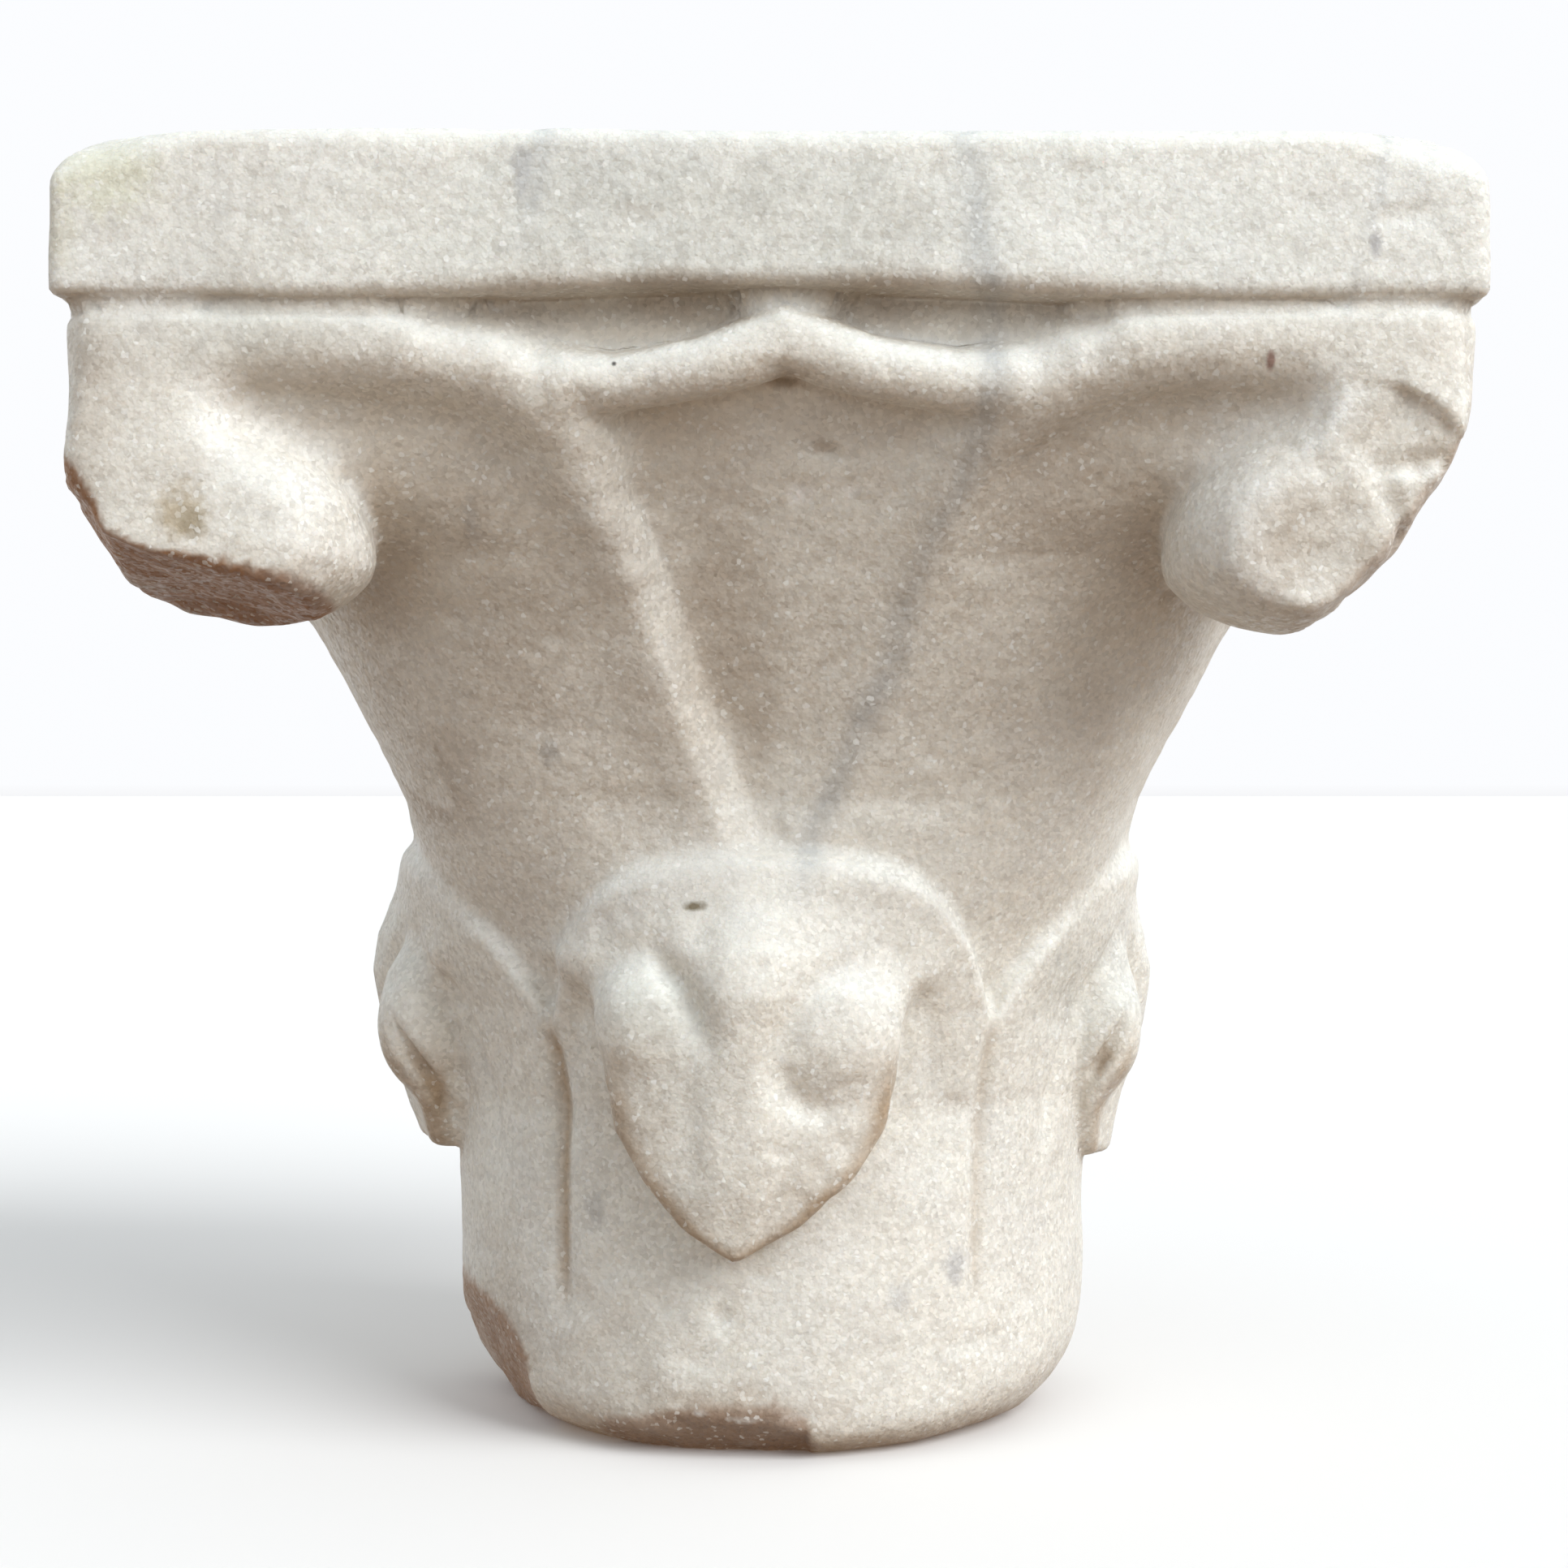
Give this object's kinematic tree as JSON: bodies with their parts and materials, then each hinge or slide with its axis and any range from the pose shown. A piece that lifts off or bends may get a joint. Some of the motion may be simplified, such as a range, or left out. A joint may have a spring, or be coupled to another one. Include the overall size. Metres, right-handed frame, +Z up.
{
  "type": "romanesque capital",
  "caption": "Weathered white marble capital with smooth leaves, folded tips and corner volutes, to stand on a slender round shaft and carry an arch or impost.",
  "frame": {"origin": "centre of the lower bed, under the middle of the abacus", "axes": "+Z up along the shaft that it stands on, -Y towards the face in the picture, +X to that face's right"},
  "size_m": [0.26, 0.26, 0.254],
  "materials": {
    "marble": "coarse crystalline white marble, weathered and matt"
  },
  "bodies": {
    "root": {"capital": "marble"}
  },
  "joints": []
}
